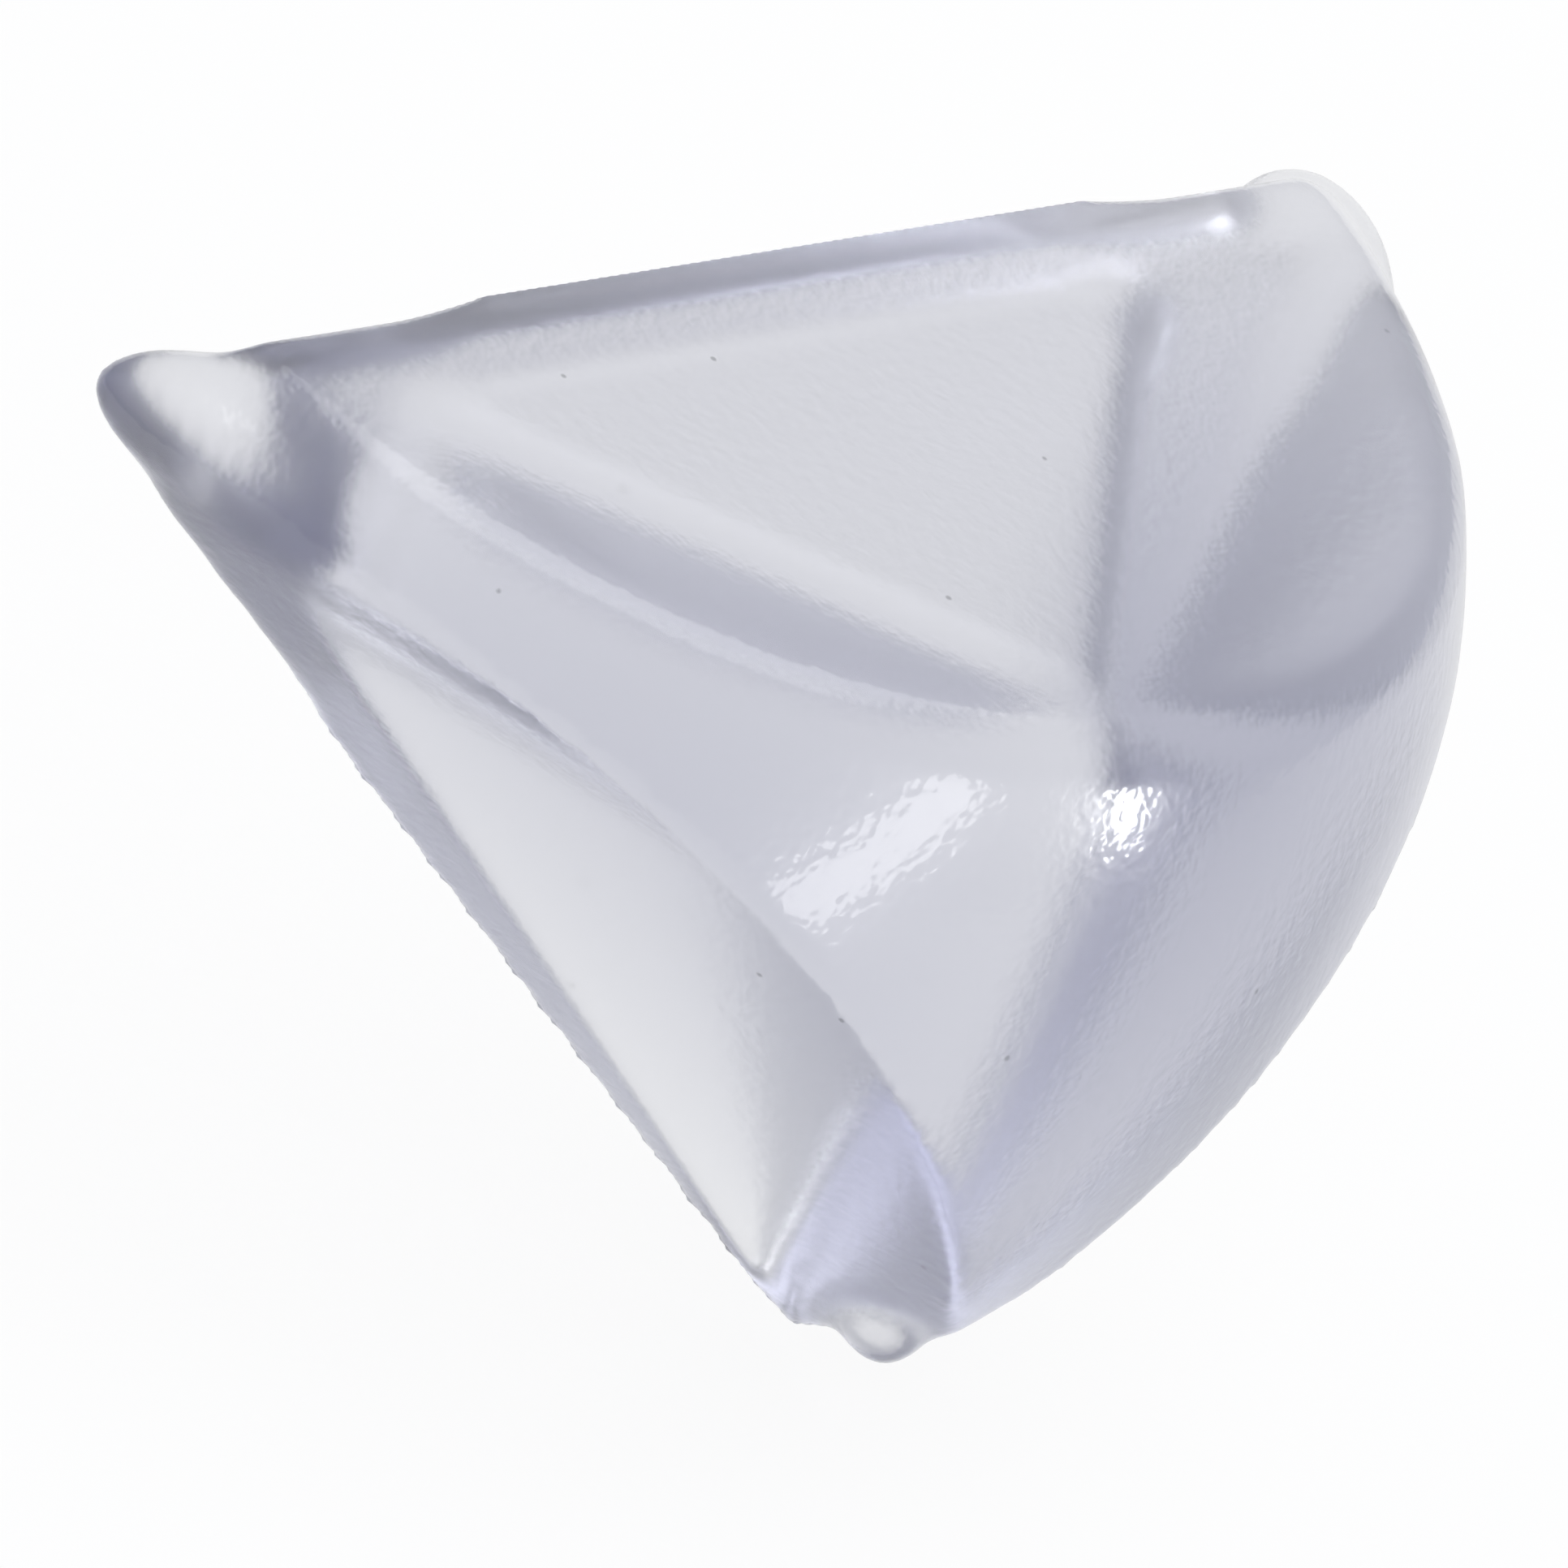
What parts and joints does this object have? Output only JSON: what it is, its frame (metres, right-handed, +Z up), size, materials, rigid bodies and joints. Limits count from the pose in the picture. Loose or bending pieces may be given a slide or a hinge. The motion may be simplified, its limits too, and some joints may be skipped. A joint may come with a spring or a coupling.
{
  "type": "furniture corner protector",
  "caption": "Clear ball-shaped guard with a flat top and a cube-shaped cavity that caps the corner of a table or shelf.",
  "frame": {"origin": "the middle of the cavity's flat ceiling, where the furniture's top face sits, 8 mm in from both side faces", "axes": "+Z up, out of the furniture's top; +X and +Y out of its two side faces; the furniture fills x < 0.008, y < 0.008, z < 0"},
  "size_m": [0.0429, 0.0429, 0.0256],
  "materials": {
    "clear_plastic": "clear soft plastic with a fine satin skin"
  },
  "bodies": {
    "root": {"corner_guard": "clear_plastic"}
  },
  "joints": []
}
